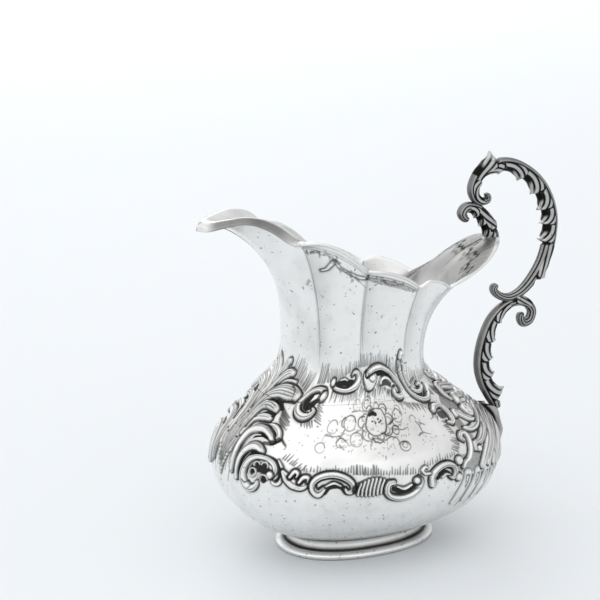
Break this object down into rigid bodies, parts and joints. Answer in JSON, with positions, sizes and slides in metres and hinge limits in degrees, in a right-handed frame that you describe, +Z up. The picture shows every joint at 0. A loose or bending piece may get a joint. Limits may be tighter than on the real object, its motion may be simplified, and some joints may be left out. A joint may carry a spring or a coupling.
{
  "type": "silver cream jug",
  "caption": "Oval bellied silver cream jug with a chased bowl, a panelled neck with a long rolled spout, an oval foot and a cast scroll handle.",
  "frame": {"origin": "under the middle of the bounding box, on the plane that the foot rests on", "axes": "+Z up, +X from the spout towards the handle, so the spout points to -X; the mirror plane is y = 0"},
  "size_m": [0.148, 0.081, 0.1433],
  "materials": {
    "foot_bead": "polished silver, light wear",
    "foot_collar": "silver, darkened in the groove",
    "bowl": "chased silver, polished on the high parts and oxidised dark in the recesses",
    "neck_and_spout": "polished silver with faint panels, chased border, small tarnish pits",
    "rim_wire": "polished silver wire",
    "handle_rim_scroll": "cast silver, oxidised",
    "handle_upper_scroll": "cast silver, oxidised, polished on the ridges",
    "handle_lower_scroll": "cast silver, oxidised, polished on the ridges",
    "handle_belly_leaf": "cast silver leaf, oxidised"
  },
  "bodies": {
    "root": {"foot_bead": "foot_bead", "foot_collar": "foot_collar", "bowl": "bowl", "neck_and_spout": "neck_and_spout", "rim_wire": "rim_wire", "handle_rim_scroll": "handle_rim_scroll", "handle_upper_scroll": "handle_upper_scroll", "handle_lower_scroll": "handle_lower_scroll", "handle_belly_leaf": "handle_belly_leaf"}
  },
  "joints": []
}
